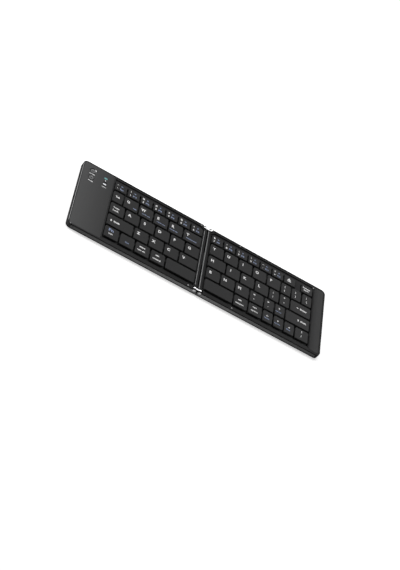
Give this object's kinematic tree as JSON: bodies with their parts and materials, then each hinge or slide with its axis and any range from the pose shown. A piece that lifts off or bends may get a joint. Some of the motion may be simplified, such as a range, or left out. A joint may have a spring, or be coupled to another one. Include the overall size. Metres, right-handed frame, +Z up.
{
  "type": "folding keyboard",
  "caption": "Slim wireless keyboard that folds in the middle on a two-axis link hinge, with low square keys sunk in a deck and a plain cover over its electronics.",
  "frame": {"origin": "on the table, under the middle of the open keyboard's seam (bottom centre of the whole object)", "axes": "+X to the right along the open keyboard, +Y to the back row of keys, +Z up"},
  "size_m": [0.276, 0.087, 0.0072],
  "materials": {
    "shell": "dark grey anodised, fine blasted",
    "deck": "matt, very fine grain",
    "cover": "dark grey, finely brushed front to back",
    "key_cap": "matt, fine spark grain, printed in white and slate blue",
    "button": "satin",
    "lens": "translucent, lit from below",
    "key_bed": "black, moulded",
    "silicone": "translucent grey",
    "circuit_board": "green solder mask",
    "battery_pouch": "foil",
    "socket_steel": "nickel plated",
    "rubber": "matt black",
    "magnet": "nickel plated",
    "screw_steel": "black oxide",
    "chrome": "polished",
    "pin_steel": "satin",
    "bridge": "matt",
    "flex": "amber film"
  },
  "bodies": {
    "left_half": {"left_tray": "shell", "left_frame": "deck", "left_panel": "cover", "left_key_bed": "key_bed", "left_dome_sheet": "silicone", "main_board": "circuit_board", "battery": "battery_pouch", "charge_socket": "socket_steel", "indicator_lenses": "lens", "left_feet": "rubber", "left_magnets": "magnet", "left_screws": "screw_steel", "left_hinge_pins": "pin_steel"},
    "hinge_link": {"hinge_links": "chrome", "cable_bridge": "bridge", "flex_cable": "flex"},
    "right_half": {"right_tray": "shell", "right_frame": "deck", "right_end_cover": "cover", "right_key_bed": "key_bed", "right_dome_sheet": "silicone", "right_feet": "rubber", "right_screws": "screw_steel", "right_hinge_pins": "pin_steel"},
    "power_button": {"power_button": "button"},
    "pair_button": {"pair_button": "button"},
    "key_q": {"key_q": "key_cap"},
    "key_w": {"key_w": "key_cap"},
    "key_e": {"key_e": "key_cap"},
    "key_r": {"key_r": "key_cap"},
    "key_t": {"key_t": "key_cap"},
    "key_a": {"key_a": "key_cap"},
    "key_s": {"key_s": "key_cap"},
    "key_d": {"key_d": "key_cap"},
    "key_f": {"key_f": "key_cap"},
    "key_g": {"key_g": "key_cap"},
    "key_z": {"key_z": "key_cap"},
    "key_x": {"key_x": "key_cap"},
    "key_c": {"key_c": "key_cap"},
    "key_v": {"key_v": "key_cap"},
    "left_space_bar": {"left_space_bar": "key_cap"},
    "left_number_keys": {"left_number_keys": "key_cap"},
    "left_side_keys": {"left_side_keys": "key_cap"},
    "key_y": {"key_y": "key_cap"},
    "key_u": {"key_u": "key_cap"},
    "key_i": {"key_i": "key_cap"},
    "key_o": {"key_o": "key_cap"},
    "key_p": {"key_p": "key_cap"},
    "key_h": {"key_h": "key_cap"},
    "key_j": {"key_j": "key_cap"},
    "key_k": {"key_k": "key_cap"},
    "key_l": {"key_l": "key_cap"},
    "key_b": {"key_b": "key_cap"},
    "key_n": {"key_n": "key_cap"},
    "key_m": {"key_m": "key_cap"},
    "right_space_bar": {"right_space_bar": "key_cap"},
    "right_number_keys": {"right_number_keys": "key_cap"},
    "right_side_keys": {"right_side_keys": "key_cap"},
    "punctuation_keys": {"punctuation_keys": "key_cap"},
    "arrow_keys": {"arrow_keys": "key_cap"}
  },
  "joints": [
    {"name": "left_fold", "type": "hinge", "parent": "left_half", "child": "hinge_link", "pos_m": [-0.003, 0, 0.0047], "axis": [0, -1, 0], "range_deg": [0, 90]},
    {"name": "right_fold", "type": "hinge", "parent": "hinge_link", "child": "right_half", "pos_m": [0.003, 0, 0.0047], "axis": [0, -1, 0], "range_deg": [0, 90]},
    {"name": "power_button_press", "type": "slide", "parent": "left_half", "child": "power_button", "axis": [0, 0, -1], "range_m": [0, 0.0004], "stiffness_N_per_m": 1500, "springref_m": -0.0003},
    {"name": "pair_button_press", "type": "slide", "parent": "left_half", "child": "pair_button", "axis": [0, 0, -1], "range_m": [0, 0.0004], "stiffness_N_per_m": 1500, "springref_m": -0.0003},
    {"name": "key_q_press", "type": "slide", "parent": "left_half", "child": "key_q", "axis": [0, 0, -1], "range_m": [0, 0.0015], "stiffness_N_per_m": 300, "springref_m": -0.001},
    {"name": "key_w_press", "type": "slide", "parent": "left_half", "child": "key_w", "axis": [0, 0, -1], "range_m": [0, 0.0015], "stiffness_N_per_m": 300, "springref_m": -0.001},
    {"name": "key_e_press", "type": "slide", "parent": "left_half", "child": "key_e", "axis": [0, 0, -1], "range_m": [0, 0.0015], "stiffness_N_per_m": 300, "springref_m": -0.001},
    {"name": "key_r_press", "type": "slide", "parent": "left_half", "child": "key_r", "axis": [0, 0, -1], "range_m": [0, 0.0015], "stiffness_N_per_m": 300, "springref_m": -0.001},
    {"name": "key_t_press", "type": "slide", "parent": "left_half", "child": "key_t", "axis": [0, 0, -1], "range_m": [0, 0.0015], "stiffness_N_per_m": 300, "springref_m": -0.001},
    {"name": "key_a_press", "type": "slide", "parent": "left_half", "child": "key_a", "axis": [0, 0, -1], "range_m": [0, 0.0015], "stiffness_N_per_m": 300, "springref_m": -0.001},
    {"name": "key_s_press", "type": "slide", "parent": "left_half", "child": "key_s", "axis": [0, 0, -1], "range_m": [0, 0.0015], "stiffness_N_per_m": 300, "springref_m": -0.001},
    {"name": "key_d_press", "type": "slide", "parent": "left_half", "child": "key_d", "axis": [0, 0, -1], "range_m": [0, 0.0015], "stiffness_N_per_m": 300, "springref_m": -0.001},
    {"name": "key_f_press", "type": "slide", "parent": "left_half", "child": "key_f", "axis": [0, 0, -1], "range_m": [0, 0.0015], "stiffness_N_per_m": 300, "springref_m": -0.001},
    {"name": "key_g_press", "type": "slide", "parent": "left_half", "child": "key_g", "axis": [0, 0, -1], "range_m": [0, 0.0015], "stiffness_N_per_m": 300, "springref_m": -0.001},
    {"name": "key_z_press", "type": "slide", "parent": "left_half", "child": "key_z", "axis": [0, 0, -1], "range_m": [0, 0.0015], "stiffness_N_per_m": 300, "springref_m": -0.001},
    {"name": "key_x_press", "type": "slide", "parent": "left_half", "child": "key_x", "axis": [0, 0, -1], "range_m": [0, 0.0015], "stiffness_N_per_m": 300, "springref_m": -0.001},
    {"name": "key_c_press", "type": "slide", "parent": "left_half", "child": "key_c", "axis": [0, 0, -1], "range_m": [0, 0.0015], "stiffness_N_per_m": 300, "springref_m": -0.001},
    {"name": "key_v_press", "type": "slide", "parent": "left_half", "child": "key_v", "axis": [0, 0, -1], "range_m": [0, 0.0015], "stiffness_N_per_m": 300, "springref_m": -0.001},
    {"name": "left_space_bar_press", "type": "slide", "parent": "left_half", "child": "left_space_bar", "axis": [0, 0, -1], "range_m": [0, 0.0015], "stiffness_N_per_m": 300, "springref_m": -0.001},
    {"name": "left_number_keys_press", "type": "slide", "parent": "left_half", "child": "left_number_keys", "axis": [0, 0, -1], "range_m": [0, 0.0015], "stiffness_N_per_m": 2100, "springref_m": -0.001},
    {"name": "left_side_keys_press", "type": "slide", "parent": "left_half", "child": "left_side_keys", "axis": [0, 0, -1], "range_m": [0, 0.0015], "stiffness_N_per_m": 2100, "springref_m": -0.001},
    {"name": "key_y_press", "type": "slide", "parent": "right_half", "child": "key_y", "axis": [0, 0, -1], "range_m": [0, 0.0015], "stiffness_N_per_m": 300, "springref_m": -0.001},
    {"name": "key_u_press", "type": "slide", "parent": "right_half", "child": "key_u", "axis": [0, 0, -1], "range_m": [0, 0.0015], "stiffness_N_per_m": 300, "springref_m": -0.001},
    {"name": "key_i_press", "type": "slide", "parent": "right_half", "child": "key_i", "axis": [0, 0, -1], "range_m": [0, 0.0015], "stiffness_N_per_m": 300, "springref_m": -0.001},
    {"name": "key_o_press", "type": "slide", "parent": "right_half", "child": "key_o", "axis": [0, 0, -1], "range_m": [0, 0.0015], "stiffness_N_per_m": 300, "springref_m": -0.001},
    {"name": "key_p_press", "type": "slide", "parent": "right_half", "child": "key_p", "axis": [0, 0, -1], "range_m": [0, 0.0015], "stiffness_N_per_m": 300, "springref_m": -0.001},
    {"name": "key_h_press", "type": "slide", "parent": "right_half", "child": "key_h", "axis": [0, 0, -1], "range_m": [0, 0.0015], "stiffness_N_per_m": 300, "springref_m": -0.001},
    {"name": "key_j_press", "type": "slide", "parent": "right_half", "child": "key_j", "axis": [0, 0, -1], "range_m": [0, 0.0015], "stiffness_N_per_m": 300, "springref_m": -0.001},
    {"name": "key_k_press", "type": "slide", "parent": "right_half", "child": "key_k", "axis": [0, 0, -1], "range_m": [0, 0.0015], "stiffness_N_per_m": 300, "springref_m": -0.001},
    {"name": "key_l_press", "type": "slide", "parent": "right_half", "child": "key_l", "axis": [0, 0, -1], "range_m": [0, 0.0015], "stiffness_N_per_m": 300, "springref_m": -0.001},
    {"name": "key_b_press", "type": "slide", "parent": "right_half", "child": "key_b", "axis": [0, 0, -1], "range_m": [0, 0.0015], "stiffness_N_per_m": 300, "springref_m": -0.001},
    {"name": "key_n_press", "type": "slide", "parent": "right_half", "child": "key_n", "axis": [0, 0, -1], "range_m": [0, 0.0015], "stiffness_N_per_m": 300, "springref_m": -0.001},
    {"name": "key_m_press", "type": "slide", "parent": "right_half", "child": "key_m", "axis": [0, 0, -1], "range_m": [0, 0.0015], "stiffness_N_per_m": 300, "springref_m": -0.001},
    {"name": "right_space_bar_press", "type": "slide", "parent": "right_half", "child": "right_space_bar", "axis": [0, 0, -1], "range_m": [0, 0.0015], "stiffness_N_per_m": 300, "springref_m": -0.001},
    {"name": "right_number_keys_press", "type": "slide", "parent": "right_half", "child": "right_number_keys", "axis": [0, 0, -1], "range_m": [0, 0.0015], "stiffness_N_per_m": 2400, "springref_m": -0.001},
    {"name": "right_side_keys_press", "type": "slide", "parent": "right_half", "child": "right_side_keys", "axis": [0, 0, -1], "range_m": [0, 0.0015], "stiffness_N_per_m": 1500, "springref_m": -0.001},
    {"name": "punctuation_keys_press", "type": "slide", "parent": "right_half", "child": "punctuation_keys", "axis": [0, 0, -1], "range_m": [0, 0.0015], "stiffness_N_per_m": 2100, "springref_m": -0.001},
    {"name": "arrow_keys_press", "type": "slide", "parent": "right_half", "child": "arrow_keys", "axis": [0, 0, -1], "range_m": [0, 0.0015], "stiffness_N_per_m": 1200, "springref_m": -0.001}
  ]
}
